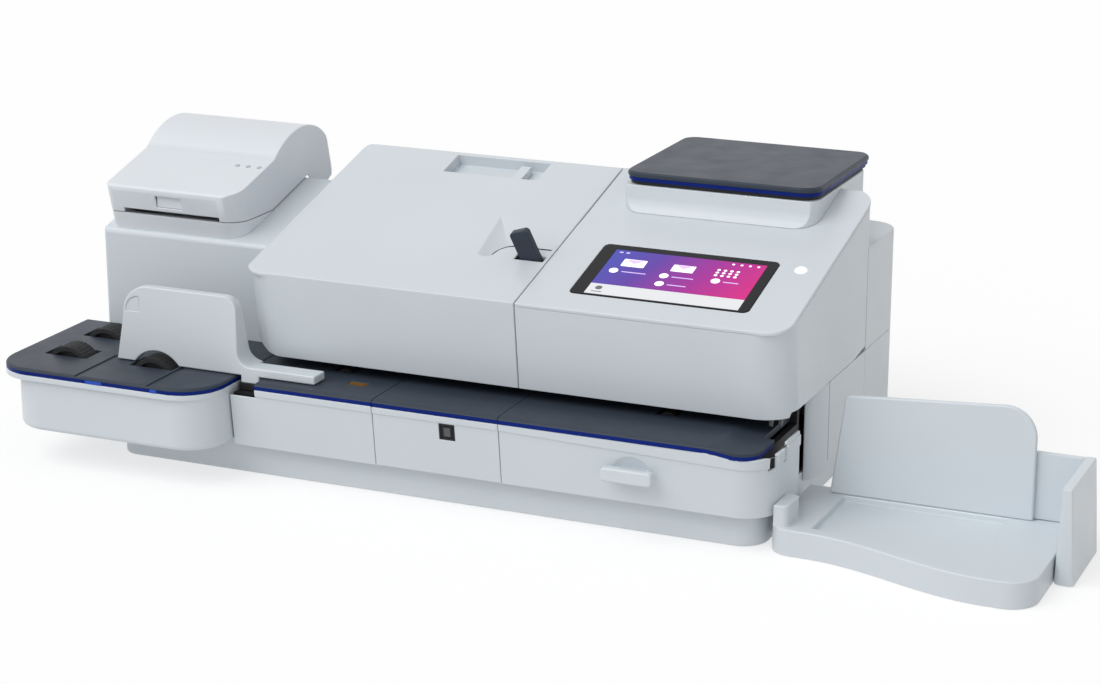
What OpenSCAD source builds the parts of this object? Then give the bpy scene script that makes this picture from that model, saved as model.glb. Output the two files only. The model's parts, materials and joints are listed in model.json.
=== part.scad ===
// Mailing machine: feeder, sloped covers with a touch screen, weighing plate,
// label printer and output stacker. Millimetres. +X runs with the mail, +Y to the
// rear, +Z up. The origin lies on the table under the seam of the two upper covers.

/* [Part] */
// Which sub-part is drawn

/* [Levels] */
// Height of the plinth
plinth_h = 38; // [32:0.5:44]
// Top of the running deck
deck_z = 104; // [100:0.5:108]
// Lower edge of the upper covers
cover_z = 115; // [113:0.5:120]
// Front top edge of the upper covers
brow_z = 204.5; // [196:0.5:212]
// Top of the rear housing
rear_z = 227; // [220:0.5:230]
// Top of the pedestal under the weighing plate
pedestal_z = 282.3; // [278:0.1:290]
// Slope of the upper covers and of the tower
slope = 15; // [13:0.5:17]

/* [Depth stations] */
// Front foot of the plinth
foot_y = -185; // [-200:1:-170]
// Front edge of the decks
deck_front = -210; // [-220:1:-205]
// Front edge of the feeder
feeder_front = -259; // [-275:1:-245]
// Front face of the side guide
guide_y = -192; // [-198:1:-188]
// Front of the upper covers at their lower edge
cover_y = -149; // [-155:1:-140]
// Front of the upper covers at their top edge
brow_y = -160; // [-168:1:-150]
// Registration wall that the mail runs along
wall_y = -77; // [-85:1:-70]
// Front of the rear housing
box_y = 95; // [90:1:100]
// Rear face
rear_y = 208; // [200:1:220]
// Back edge of the upper covers
cover_back = 120; // [114:1:122]
// Rear of the tower
tower_back = 73; // [66:1:80]

/* [Width stations] */
// Left end of the feeder
feeder_x = -544; // [-570:1:-535]
// Right end of the feeder pan
pan_end = -292; // [-300:1:-286]
// Left side of the upper cover
lid_x = -303; // [-310:1:-296]
// Joint between the left and the middle deck
seam_1 = -131; // [-140:1:-120]
// Joint between the middle and the right deck
seam_2 = 5; // [0:1:12]
// Right side of the machine
body_x = 276.6; // [270:0.2:285]
// Left side of the tower
tower_x = -517; // [-530:1:-512]
// Right end of the stacker tray
tray_x = 536; // [520:1:560]

/* [Feeder] */
// Radius of the feed wheels
wheel_r = 26; // [20:0.5:28]
// How far the feed wheels stand out of the deck
wheel_up = 9; // [5:0.5:11]
// Radius of the feed shafts
shaft_r = 5; // [4:0.5:6]

/* [Display] */
// Width of the screen glass
glass_w = 183; // [170:1:190]
// Height of the screen glass
glass_h = 99; // [90:1:105]

/* [Scale plate] */
// Width of the weighing plate
plate_w = 207.5; // [195:0.5:220]
// Depth of the weighing plate
plate_d = 185; // [172:1:195]

/* [Fits] */
// Shut line between covers
gap = 0.6; // [0.4:0.1:1]
// Running clearance of a shaft, on the radius
run = 0.06; // [0.02:0.01:0.1]
// Wall of the plastic covers
wall = 3; // [2.5:0.1:4]

/* [Hidden] */
$fn = 64;
white = [0.87, 0.89, 0.91];
pale = [0.80, 0.82, 0.85];
slate = [0.26, 0.28, 0.31];
blue = [0.05, 0.12, 0.48];
black = [0.05, 0.05, 0.06];
steel = [0.68, 0.69, 0.70];
lean = atan2(cover_y - brow_y, brow_z - cover_z);
rim_z = deck_z - 6.8;
edge_z = deck_z - 3;
panel_y = foot_y - 17;
panel_lean = 6.8;
tower_z = 207.5;
tower_end = lid_x - 3;
hinge = [0, 107, 246];
wheel_z = deck_z + wheel_up - wheel_r;
wheel_x = [-487, -385];
roller_r = 11;
roller_z = deck_z + 0.8 - roller_r;
roller_x = [-200, 150];
plate_x = 31.5;
plate_y = 38;
cell_x = plate_x + plate_w/2 + 0.25;
cell_y = plate_y + plate_d/2;
tray_top = 26;
rail_x = pan_end + 30;
lever_x = -14;
lever_s = 87;
lever_n = -12;
lever_lean = 18;
function zs(y) = brow_z + (y - brow_y)*tan(slope);
function py(z) = panel_y - (z - plinth_h)*tan(panel_lean);
function ease(t) = t < 0 ? 0 : t > 1 ? 1 : (1 - cos(180*t))/2;
function sag(x) = 3.5*ease((x - 212)/36);
function arc(c, r, a, b, n = 8) = [for (i = [0:n]) c + r*[cos(a + (b - a)*i/n), sin(a + (b - a)*i/n)]];

// Box between two corners, given as ranges
module slab(x, y, z) {
  translate([x[0], y[0], z[0]]) cube([x[1] - x[0], y[1] - y[0], z[1] - z[0]]);
}

// Flat rectangle with its own radius at each corner: front left, front right, back right, back left
module plan(x, y, r) {
  cx = [x[0], x[1], x[1], x[0]];
  cy = [y[0], y[0], y[1], y[1]];
  sx = [1, -1, -1, 1];
  sy = [1, 1, -1, -1];
  difference() {
    translate([x[0], y[0]]) square([x[1] - x[0], y[1] - y[0]]);
    for (i = [0:3]) if (r[i] > 0)
      translate([cx[i] + (sx[i] < 0 ? -r[i] : 0), cy[i] + (sy[i] < 0 ? -r[i] : 0)]) square(r[i]);
  }
  for (i = [0:3]) if (r[i] > 0)
    translate([cx[i] + sx[i]*r[i], cy[i] + sy[i]*r[i]]) circle(r[i]);
}

module raise(z) {
  translate([0, 0, z[0]]) linear_extrude(z[1] - z[0]) children();
}

// Shape drawn in depth and height, run along the width
module side_prism(x) {
  translate([x[0], 0, 0]) rotate([90, 0, 90]) linear_extrude(x[1] - x[0]) children();
}

// Shape drawn in width and height, run along the depth
module front_prism(y) {
  translate([0, y[1], 0]) rotate([90, 0, 0]) linear_extrude(y[1] - y[0]) children();
}

module rod_x(x, y, z, r) {
  translate([x[0], y, z]) rotate([0, 90, 0]) cylinder(h = x[1] - x[0], r = r);
}

module rod_y(x, y, z, r) {
  translate([x, y[1], z]) rotate([90, 0, 0]) cylinder(h = y[1] - y[0], r = r);
}

module on_cover() {
  translate([0, brow_y, brow_z]) rotate([slope, 0, 0]) children();
}

module on_tower() {
  translate([0, wall_y, tower_z]) rotate([slope, 0, 0]) children();
}

module leaning() {
  translate([0, cover_y, cover_z]) rotate([lean, 0, 0]) translate([0, 0, -20]) linear_extrude(260) children();
}

module panel_leaning() {
  translate([0, panel_y, plinth_h]) rotate([panel_lean, 0, 0]) translate([0, 0, -15]) linear_extrude(95) children();
}

module plinth() {
  color(white) difference() {
    raise([0, plinth_h]) plan([-440, 264], [foot_y, rear_y - 5], [22, 26, 12, 12]);
    difference() {
      raise([4, plinth_h - 4]) plan([-436, 260], [foot_y + 4, rear_y - 9], [18, 22, 8, 8]);
      slab([-500, -296], [tower_back, 300], [0, 60]);
    }
    slab([-500, -300], [tower_back + 4, 300], [-1, 60]);
    pad_spots(14.3, 2);
  }
}

module pad_spots(r, h) {
  for (p = [[-405, foot_y + 30], [-90, foot_y + 30], [225, foot_y + 30], [-405, 45], [-270, 175], [-90, 175], [225, 175]])
    translate([p[0], p[1], -0.01]) cylinder(h = h + 0.01, r = r);
}

module base_pads() {
  color(black) intersection() {
    pad_spots(14, 2);
    slab([-500, 300], [-300, 300], [0, 2]);
  }
}

module chassis() {
  color(black) difference() {
    union() {
      slab([pan_end + 7, 262], [foot_y + 8, box_y - 0.5], [plinth_h, plinth_h + 4]);
      slab([rail_x, 204], [-152, -146], [plinth_h + 3, rim_z]);
      slab([203, 262], [-152, -146], [plinth_h + 3, rim_z - 5.4]);
      slab([rail_x, 262], [wall_y, wall_y + 6], [plinth_h + 3, 113]);
      for (x = [[lid_x + 45, -8], [8, 262]]) slab(x, [wall_y, wall_y + 6], [112, 180]);
      slab([rail_x, rail_x + 5], [-152, wall_y + 1], [plinth_h + 3, rim_z]);
      slab([seam_1 - 6, seam_1 - 2], [-198.5, wall_y + 1], [plinth_h + 3, rim_z]);
      slab([seam_2 + 2, seam_2 + 6], [-198.5, wall_y + 1], [plinth_h + 3, rim_z]);
      slab([256, 262], [-186, wall_y + 1], [plinth_h + 3, rim_z - 6]);
      slab([pan_end + 1, rail_x + 5], [-200, wall_y], [84, 89]);
      for (x = [[lid_x + 53, -8], [8, 250]]) slab(x, [-143, wall_y + 1], [cover_z + 1, cover_z + 4]);
      slab([249, 262], [-137.5, wall_y + 1], [cover_z + 1, cover_z + 4]);
      slab([258, 266], [-133, -108], [cover_z + 1, cover_z + 4]);
      for (x = [lid_x + 45, -12]) {
        side_prism([x, x + 6]) polygon([[wall_y + 5, plinth_h + 3], [box_y - 0.6, plinth_h + 3],
          [box_y - 0.6, 228], [101, 240], [107, 246], [100, 250], [60, 215], [wall_y + 5, 120]]);
        rod_x([x, x + 6], hinge[1], hinge[2], 8.5);
      }
      for (x = [75, 105]) translate([x, -172, plinth_h + 3]) cylinder(h = 51, r = 4);
    }
    slab([seam_1 + 2, seam_2 - 2], [-160, wall_y - 1], [plinth_h + 4, rim_z - 7]);
    for (x = roller_x) rod_y(x, [-160, wall_y + 10], roller_z, 3 + run);
    rod_x([lid_x + 33, 0], hinge[1], hinge[2], 4.02);
  }
}

// Drafted front wall with a proud rim and a bottom flange
module panel_run(x, zb, zt) {
  lip = zb - 4;
  side_prism(x) polygon([[py(lip), lip], [py(90), 90], [py(90) - 1.2, 90], [py(zt) - 1.2, zt], [py(zt) + 2, zt],
    [py(zb + 3) + 3, zb + 3], [foot_y + 7.6, zb + 3], [foot_y + 7.6, zb], [py(lip) + 3, zb], [py(lip) + 3, lip]]);
}

module left_panel() {
  color(white) difference() {
    panel_run([pan_end + 1, seam_1 - gap/2], plinth_h, rim_z);
    slab([pan_end - 3, rail_x], [-230, -180], [88.5, 110]);
  }
}

module right_form(e, z) {
  intersection() {
    panel_leaning() plan([seam_2 + gap/2, body_x - e], [e, 98], [0, 34 - e, 0, 0]);
    front_prism([-240, -111]) polygon(concat([[300, z[0] - 8], [0, z[0]]], [for (x = [0:5:205]) [x, z[1]]],
      [for (x = [210:3:249]) [x, z[1] - sag(x)]], [[300, z[1] - 3.5]]));
  }
}

module right_panel() {
  color(white) difference() {
    union() {
      intersection() {
        union() {
          right_form(0, [plinth_h - 4, rim_z]);
          right_form(-1.2, [rim_z - 7, rim_z]);
        }
        slab([0, 300], [-240, -111], [plinth_h - 4, 110]);
      }
      slab([body_x - wall, body_x], [-148.5, -111], [plinth_h + 10, rim_z]);
    }
    difference() {
      right_form(wall, [plinth_h - 20, rim_z + 20]);
      slab([0, 300], [-240, foot_y + 7.6], [plinth_h, plinth_h + 3]);
      slab([112, 172], [-210, -190], [58, 92]);
    }
    slab([0, body_x - wall], [foot_y + 7.6, -100], [30, plinth_h + 3]);
    slab([129.4, 154.6], [-230, -150], [61.8, 70.2]);
    intersection() {
      translate([142, -247.5, 57]) sphere(r = 48);
      slab([110, 175], [-230, -190], [70.3, 90]);
    }
    slab([body_x - 8, body_x + 5], [-190, -176], [80.5, 110]);
    slab([body_x - 2, body_x + 5], [-157, -149], [79, 110]);
  }
}

module tank_front() {
  color(white) difference() {
    panel_run([seam_1 + gap/2, seam_2 - gap/2], plinth_h + 0.4, rim_z - 0.4);
    slab([-59, -42], [-230, -180], [72, 89]);
  }
}

module tank() {
  color(pale) difference() {
    slab([-124, -2], [-199.4, -100], [plinth_h + 4.3, 86]);
    slab([-121.5, -4.5], [-196.9, -102.5], [plinth_h + 7, 90]);
  }
}

module level_window() {
  color(black) side_prism([-58.9, -42.1]) polygon([[py(72.1) + 0.8, 72.1], [py(88.9) + 0.8, 88.9],
    [py(88.9) + 2.8, 88.9], [py(72.1) + 2.8, 72.1]]);
}

// Deck with a rounded front edge
module deck_run(x) {
  side_prism(x) polygon(concat([for (i = [0:8]) [deck_front + 9*(1 - cos(i*11.25)), edge_z + 3*sin(i*11.25)]],
    [[wall_y - 0.3, deck_z], [wall_y - 0.3, rim_z], [deck_front + 4.2, rim_z], [deck_front + 4.2, edge_z]]));
}

module trim_run(x) {
  slab(x, [deck_front + 0.4, deck_front + 4.1], [rim_z, edge_z]);
}

module deck_left() {
  color(slate) difference() {
    union() {
      deck_run([rail_x, seam_1 - gap/2]);
      slab([pan_end + 0.5, rail_x + 1], [-148, wall_y - 0.3], [rim_z, deck_z]);
    }
    slab([roller_x[0] - 11.6, roller_x[0] + 11.6], [-138, -92], [80, 110]);
    slab([-177, -157], [-173, -163], [deck_z - 1.5, 110]);
  }
}

module deck_mid() {
  color(slate) deck_run([seam_1 + gap/2, seam_2 - gap/2]);
}

module right_deck_plan(e) {
  plan([seam_2 + gap/2, 266 - e], [deck_front + e, -156], [0, 20 - e, 0, 0]);
}

module curve_band(a, b) {
  front_prism([-230, wall_y]) polygon(concat([for (x = [0:5:205]) [x, b]], [for (x = [210:3:249]) [x, b - sag(x)]],
    [[300, b - 3.5], [300, a - 3.5]], [for (x = [249:-3:210]) [x, a - sag(x)]], [for (x = [205:-5:0]) [x, a]]));
}

module deck_right() {
  color(slate) difference() {
    union() {
      intersection() {
        raise([80, 120]) right_deck_plan(0);
        curve_band(edge_z, deck_z);
        side_prism([0, 300]) polygon(concat([[deck_front, 80]],
          [for (i = [0:8]) [deck_front + 9*(1 - cos(i*11.25)), edge_z + 3*sin(i*11.25)]], [[0, deck_z], [0, 80]]));
      }
      intersection() {
        raise([80, 120]) right_deck_plan(4.2);
        curve_band(rim_z, edge_z + 0.2);
      }
      intersection() {
        slab([seam_2 + gap/2, 255], [-157, wall_y - 0.3], [80, 120]);
        curve_band(rim_z, deck_z);
      }
    }
    slab([roller_x[1] - 11.6, roller_x[1] + 11.6], [-138, -92], [80, 110]);
  }
}

module trim_left() {
  color(blue) trim_run([rail_x, seam_1 - gap/2]);
}

module trim_mid() {
  color(blue) trim_run([seam_1 + gap/2, seam_2 - gap/2]);
}

module trim_right() {
  color(blue) intersection() {
    raise([80, 120]) difference() {
      right_deck_plan(0.4);
      right_deck_plan(4.1);
    }
    curve_band(rim_z, edge_z);
  }
}

module feed_sensor() {
  color([0.55, 0.38, 0.12]) union() {
    slab([-176.8, -157.2], [-172.8, -163.2], [deck_z - 1.5, deck_z - 0.6]);
    translate([-162, -168, deck_z - 0.7]) cylinder(h = 0.9, r = 3.6);
  }
}

module pull_bar() {
  color(white) union() {
    front_prism([-222, -212]) plan([116, 168], [59, 73], [4, 4, 4, 4]);
    slab([130, 154], [-212.5, -186], [62.4, 69.6]);
  }
}

module roller_carriage() {
  color(black) difference() {
    slab([62, 118], [-188, -158], [74, 90]);
    for (x = [75, 105]) translate([x, -172, 60]) cylinder(h = 60, r = 4 + run);
  }
}

module deck_roller(x) {
  rod_y(x, [-134, -96], roller_z, roller_r - 2);
  for (y = [-132, -110]) rod_y(x, [y, y + 12], roller_z, roller_r);
  rod_y(x, [-154, wall_y + 8], roller_z, 3);
}

module drive_roller() {
  color(black) deck_roller(roller_x[0]);
}

module exit_roller() {
  color(black) deck_roller(roller_x[1]);
}

module exit_wall() {
  color(white) raise([plinth_h - 9, 119.4]) polygon(concat([for (a = [0:9:90])
    [body_x - 12.3 + 12.1*sin(a), -21 - 42*cos(a)]], [[body_x - 12.3, -21]]));
}

module side_wall() {
  color(white) slab([body_x - 10.6, body_x], [-20.4, box_y - 0.5], [plinth_h, 119.4]);
}

module exit_fins() {
  color(black) for (p = [[254, -137], [262, -132.5]])
    side_prism([p[0], p[0] + 3])
      polygon([[p[1], cover_z + 1], [p[1], 107], [p[1] + 2.5, 105.2], [p[1] + 8, cover_z + 1]]);
}

module feeder_plan(e) {
  plan([feeder_x + e, pan_end - e], [feeder_front + e, wall_y - 2], [45 - e, 45 - e, 0, 0]);
}

module pan_plan(e) {
  plan([feeder_x + 16 + e, pan_end - 0.6 - e], [feeder_front + 4 + e, wall_y - 2], [41 - e, 41 - e, 0, 0]);
}

module feeder_pan() {
  color(white) difference() {
    union() {
      raise([plinth_h, rim_z]) pan_plan(0);
      raise([rim_z - 5.5, rim_z]) feeder_plan(0);
    }
    raise([plinth_h + 3, rim_z + 5]) pan_plan(wall);
  }
}

module feeder_deck() {
  color(slate) difference() {
    union() {
      hull() {
        raise([edge_z, edge_z + 0.1]) feeder_plan(0.2, $fn = 40);
        raise([edge_z + 1.9, edge_z + 2]) feeder_plan(1, $fn = 40);
        raise([deck_z - 0.1, deck_z]) feeder_plan(3.2, $fn = 40);
      }
      raise([rim_z, edge_z + 0.5]) feeder_plan(4.2);
    }
    for (x = wheel_x, y = [-189, -118]) slab([x - 25, x + 25], [y - 15, y + 15], [80, 110]);
    for (x = [-438, -354]) slab([x - 3, x + 3], [feeder_front - 5, guide_y + 12], [deck_z - 1.2, 110]);
  }
}

module feeder_trim() {
  color(blue) raise([rim_z, edge_z]) difference() {
    feeder_plan(0.5);
    feeder_plan(4.1);
  }
}

module feed_bearings() {
  color(black) difference() {
    for (x = wheel_x, y = [-222, -98])
      slab([x - 13, x + 13], [y, y + 8], [plinth_h + 3, rim_z]);
    for (x = wheel_x) rod_y(x, [-230, -80], wheel_z, shaft_r + run);
  }
}

module feed_shaft(x) {
  rod_y(x, [-226, -88], wheel_z, shaft_r);
}

module feed_wheel_pair(x) {
  for (y = [-201, -130]) difference() {
    rod_y(x, [y, y + 24], wheel_z, wheel_r);
    rod_y(x, [y - 1, y + 5], wheel_z, wheel_r - 6);
    rod_y(x, [y - 1, y + 25], wheel_z, shaft_r + 0.02);
  }
}

module feed_shaft_left() {
  color(steel) feed_shaft(wheel_x[0]);
}

module feed_shaft_right() {
  color(steel) feed_shaft(wheel_x[1]);
}

module feed_wheels_left() {
  color(black) feed_wheel_pair(wheel_x[0]);
}

module feed_wheels_right() {
  color(black) feed_wheel_pair(wheel_x[1]);
}

function guide_pts(r, z) = concat([[pan_end - 140, z]], arc([pan_end - 101, 155], 30, 184, 90, 14),
  arc([r - 14, 171], 14, 90, 0, 10), arc([r + 14, 127.4], 14, 180, 270, 10), [[r + 14, z]]);

module side_guide() {
  r = pan_end + 1.5;
  z = deck_z + 0.6;
  color(white) difference() {
    union() {
      front_prism([guide_y, guide_y + 10]) polygon(guide_pts(r, z));
      intersection() {
        front_prism([guide_y, guide_y + 40]) polygon(guide_pts(r, z));
        side_prism([r - 4, r + 14]) polygon([[guide_y, z], [guide_y + 29, z], [guide_y + 29, 114],
          [guide_y + 14, 172], [guide_y + 10, 186], [guide_y, 186]]);
      }
      slab([pan_end - 3, pan_end + 89], [guide_y, guide_y + 22], [z, 113.4]);
      slab([pan_end + 5, rail_x - 4], [guide_y, guide_y + 9], [97, deck_z + 1]);
    }
    rod_y(wheel_x[1], [guide_y - 5, guide_y + 20], wheel_z, wheel_r + 5);
    translate([pan_end - 112, guide_y + 0.7, 158]) rotate([90, 0, 0]) difference() {
      cylinder(h = 5, r = 15);
      translate([0, -30, -1]) cube([40, 60, 10]);
      translate([-40, -60, -1]) cube([80, 60, 10]);
    }
  }
}

module guide_foot() {
  color(black) slab([pan_end + 3, rail_x - 2], [guide_y, guide_y + 30], [89.4, 97]);
}

module tower() {
  top = tower_z + (tower_back - wall_y)*tan(slope);
  color(white) difference() {
    intersection() {
      raise([plinth_h, 400]) plan([tower_x, tower_end], [wall_y, tower_back], [4, 0, 0, 6]);
      side_prism([-600, -200]) polygon(concat([[wall_y, plinth_h]],
        [for (p = arc([wall_y + 6, tower_z - 4.66], 6, 180, 90 + slope, 6)) p],
        [[tower_back - 3, top - 0.83], [tower_back, top - 4], [tower_back, plinth_h]]));
    }
    slab([tower_x + 5, tower_end - 5], [wall_y + 5, tower_back - 5], [plinth_h + 5, tower_z - 8]);
  }
}

// Profile of the printer lid: flat front panel, round hump over the reel, and a tail behind the tower that
// ends on an arc about the hinge
function lid_pts(e) = concat([[5 + e, e > 0 ? -60 : 19.6], [5 + e, 45], [6 + e, 49 - e*0.4], [10 + e*0.4, 50.6 - e]],
  [for (t = [124:-6:-26]) [136 + (76 - e)*cos(t), 2 + (58.5 - e)*sin(t)]],
  e > 0 ? [[202 - e, -60]] : concat(arc([197, 16], 43, -100, -157, 8), [[156.5, 1.2], [72.8, 1.2]]));

module printer_base() {
  color(white) on_tower() difference() {
    union() {
      intersection() {
        raise([0, 30]) plan([-508, -350], [5, 72], [8, 24, 0, 0]);
        side_prism([-520, -340]) polygon([[5, 0], [72, 0], [72, 0.6], [5, 19]]);
      }
      slab([-502.5, -353.5], [20, 180], [0, 3]);
      for (x = [-500, -362]) {
        slab([x, x + 6], [178, 201], [0, 3]);
        slab([x, x + 6], [189, 201], [0, 20.5]);
      }
      for (x = [-494, -368]) slab([x, x + 6], [124, 148], [0, 36]);
      for (x = [-497, -365]) slab([x, x + 6], [14, 28], [0, 29]);
    }
    difference() {
      slab([-500, -356], [14, 155], [3, 30]);
      for (x = [-494, -368]) slab([x, x + 6], [124, 148], [0, 36]);
      for (x = [-497, -365]) slab([x, x + 6], [14, 28], [0, 29]);
    }
    rod_x([-510, -340], 197, 16, 3 + run);
    rod_x([-510, -340], 136, 30, 4 + run);
    rod_x([-510, -340], 21, 23, 3 + run);
  }
}

module printer_lid() {
  color(white) on_tower() difference() {
    union() {
      difference() {
        intersection() {
          raise([-40, 90]) plan([-508, -350], [5, 212.2], [8, 24, 8, 8]);
          side_prism([-520, -340]) polygon(lid_pts(0));
        }
        intersection() {
          raise([-70, 90]) plan([-505.4, -352.6], [7.6, 209.6], [5.4, 21.4, 5.4, 5.4]);
          side_prism([-520, -340]) polygon(lid_pts(2.6));
        }
      }
      rod_x([-506, -494.5], 197, 16, 3);
      rod_x([-361.5, -352], 197, 16, 3);
    }
    for (x = [-500, -362]) slab([x - 1.5, x + 7.5], [200, 216], [-45, 19]);
    slab([-489, -374], [0, 12], [10, 24.4]);
    slab([-448, -417], [0, 12], [29, 42]);
    for (i = [0:2]) translate([-384 + 13*i, 74, 40]) cylinder(h = 20, r = 2.4);
  }
}

module printer_latch() {
  color(white) on_tower() union() {
    slab([-447.6, -417.4], [6.2, 8.6], [29.4, 41.6]);
    slab([-451, -414], [8.3, 10.3], [26, 40.6]);
  }
}

module printer_lamps() {
  color(pale) on_tower() for (i = [0:2]) translate([-384 + 13*i, 74, 47.9]) cylinder(h = 3, r = 2.3);
}

module platen_roller() {
  color(black) on_tower() union() {
    rod_x([-490.4, -365.6], 21, 23, 5.5);
    rod_x([-498.5, -357.5], 21, 23, 3);
  }
}

module label_spindle() {
  color(pale) on_tower() union() {
    rod_x([-487.4, -368.6], 136, 30, 9.9);
    rod_x([-493.5, -362.5], 136, 30, 4);
  }
}

module label_roll() {
  color([0.93, 0.92, 0.9]) on_tower() difference() {
    rod_x([-482, -374], 136, 30, 23);
    rod_x([-490, -360], 136, 30, 9.92);
  }
}

module lid_form(e, r = 35) {
  k = e/cos(slope);
  b = cover_back + 7;
  intersection() {
    leaning() plan([lid_x + e, -gap - e], [e, 330], [r - e, 0, 0, 0]);
    side_prism([-400, 50]) polygon([[cover_y - 60, cover_z - 10], [box_y - 4 - e, cover_z - 10],
      [box_y - 4 - e, 229 + e], [b - e, 236 + e], [b - e, zs(b) - 9 - k], [b - 3 - e, zs(b - 3) - 3 - k],
      [b - 9 - e, zs(b - 9) - 0.4 - k], [b - 15 - e, zs(b - 15) - k], [cover_y - 60, zs(cover_y - 60) - k]]);
    front_prism([-260, 200]) plan([lid_x + e, 50], [cover_z + e, 400], [40 - e, 0, 0, 0]);
    on_cover() front_prism([-80, 400]) plan([lid_x + e, 50], [-300, -e], [0, 0, 0, 6 - e]);
    raise([80, 320]) plan([lid_x + e, 50], [-300, b - e], [0, 0, 0, 26 - e]);
  }
}

// Outline of the finger scoop on the cover: it goes round the flat that carries the lever
function scoop_pts(e) = [[-4 + e, 105 - e], [-46 - e/2, 105 - e], [-53 - e/2, 102 - e], [-58, 96 - e], [-61, 84 - e],
  [-65, 81 - e], [-72 - e/2, 82 - e], [-83 - e, 87 - e], [-92 - e, 150], [-90 - e, 161 + e], [-70, 164 + e],
  [-4 + e, 164 + e]];

module lever_hollow(e) {
  on_cover() intersection() {
    raise([-40, 3 - e]) polygon(scoop_pts(e));
    side_prism([-110, 0]) polygon([[70, 3], [70, -14 - e], [112, -14 - e], [164, 0.6 - e], [190, 0.6 - e], [190, 3]]);
    translate([-77, 91, 0]) rotate([0, 0, 6.3]) front_prism([-30, 100])
      polygon([[-9, 3], [-9, 5.3 - 1.16*e], [24, -14 - 1.16*e], [24, -40], [100, -40], [100, 3]]);
  }
}

module left_lid() {
  color(white) difference() {
    union() {
      difference() {
        union() {
          lid_form(0);
          intersection() {
            lid_form(0, 24);
            on_cover() slab([lid_x - 5, 0], [-40, 300], [-4, 0]);
          }
        }
        difference() {
          lid_form(wall);
          lever_hollow(wall);
          on_cover() slab([-191, -77], [241, 286], [-15, 0]);
        }
        slab([lid_x + 41, -4], [cover_y + 3.6, 88], [100, cover_z + 6]);
        slab([lid_x + 5, -4], [80, 140], [100, 258]);
      }
      for (x = [lid_x + 53, -34]) {
        rod_x([x, x + 20], hinge[1], hinge[2], 8);
        slab([x, x + 20], [103, 111], [hinge[2] + 2, 272]);
      }
      on_cover() for (s = [-10.5, 5.5])
        slab([lever_x - 8, lever_x + 8], [lever_s + s, lever_s + s + 5], [lever_n - 7, -2]);
    }
    on_cover() slab([-188, -80], [244, 283], [-12, 5]);
    lever_hollow(0);
    on_cover() slab([-35.5, -4.4], [lever_s - 5.5, lever_s + 5.5], [-30, 5]);
    rod_x([lid_x + 33, 0], hinge[1], hinge[2], 4 + run);
    on_cover() rod_y(lever_x, [lever_s - 11, lever_s + 11], lever_n, 3.02);
  }
}

module lid_hinge_rod() {
  color(steel) rod_x([lid_x + 41, -5], hinge[1], hinge[2], 4);
}

module lid_latch() {
  color(white) on_cover() slab([-112, -100], [247, 277], [-11.6, -3]);
}

module release_lever() {
  color(slate) on_cover() difference() {
    translate([lever_x, 0, lever_n]) rotate([0, -lever_lean, 0]) union() {
      front_prism([lever_s - 4.5, lever_s + 4.5]) polygon([[-6, 0], [-11.5, 9], [-11.5, 42], [-9, 44.5],
        [6.5, 44.5], [9, 42], [9, 8], [6, 0]]);
      rod_y(0, [lever_s - 4.5, lever_s + 4.5], 0, 6);
    }
    rod_y(lever_x, [lever_s - 11, lever_s + 11], lever_n, 3 + run);
  }
}

module lever_pin() {
  color(steel) on_cover() rod_y(lever_x, [lever_s - 10.5, lever_s + 10.5], lever_n, 3);
}

module display_top() {
  color(white) difference() {
    intersection() {
      leaning() plan([gap, body_x], [-0.3, 400], [0, 24, 0, 0]);
      on_cover() slab([0, 300], [-40, (cover_back - brow_y)/cos(slope)], [-4, 0]);
      raise([80, 320]) plan([-50, body_x], [-300, cover_back + 5], [0, 0, 34, 0]);
    }
    on_cover() raise([-3, 5]) plan([44.3, 44.7 + glass_w], [30.8, 31.2 + glass_h], [6, 6, 6, 6]);
    on_cover() translate([251, 120, -20]) cylinder(h = 40, r = 5.7);
  }
}

module front_form(e) {
  k = 4.03/cos(slope);
  b = cover_back - 0.5;
  intersection() {
    leaning() plan([gap + e, body_x - e], [e, 330], [0, 35 - e, 0, 0]);
    side_prism([-50, 350]) polygon([[cover_y - 60, cover_z - e*4], [-131, cover_z - e*4], [-129, 120 - e*5],
      [box_y - 0.15 - e, 120 - e*5], [box_y - 0.15 - e, rear_z + 0.15 + e], [b - e, rear_z + 0.15 + e],
      [b - e, zs(b) - k + e*3], [cover_y - 60, zs(cover_y - 60) - k + e*3]]);
    raise([80, 320]) plan([-50, body_x - e], [-300, b - e], [0, 0, 30 - e, 0]);
  }
}

module right_front() {
  color(white) difference() {
    front_form(0);
    front_form(wall);
  }
}

module bezel() {
  color(black) on_cover() raise([-3, 0.4]) difference() {
    plan([44.5, 44.5 + glass_w], [31, 31 + glass_h], [6, 6, 6, 6]);
    translate([59.5, 33.5]) square([157.5, 87.5]);
  }
}

module screen() {
  color([0.35, 0.15, 0.62]) on_cover() slab([59.6, 216.9], [33.6, 120.9], [-3, 0.3]);
}

module power_button() {
  color(white) on_cover() translate([251, 120, -7]) cylinder(h = 8.2, r = 5.3);
}

module scale_pedestal() {
  color(white) difference() {
    intersection() {
      raise([200, pedestal_z])
        plan([plate_x - 1, plate_x + plate_w - 1], [plate_y - 7, rear_y + 1], [24, 24, 16, 16]);
      side_prism([0, 300]) polygon(concat([for (p = [[1, 30], [1, 16], [0, 9], [-2, 4.5], [-4.5, 1.5], [-7, 0.02]])
        [plate_y + p[0], zs(plate_y + p[0]) + p[1]]], [[cover_back - 0.1, zs(cover_back) + 0.02],
        [cover_back + 2.4, zs(cover_back) + 0.02], [cover_back + 2.4, rear_z + 0.02], [rear_y + 60, rear_z + 0.02],
        [rear_y + 60, 300], [plate_y + 1, 300]]));
    }
    slab([cell_x - 78, cell_x + 80], [cover_back + 5, rear_y - 16], [240, pedestal_z - 6]);
    translate([cell_x, cell_y + 6, 250]) cylinder(h = 60, r = 7.5);
  }
}

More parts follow.
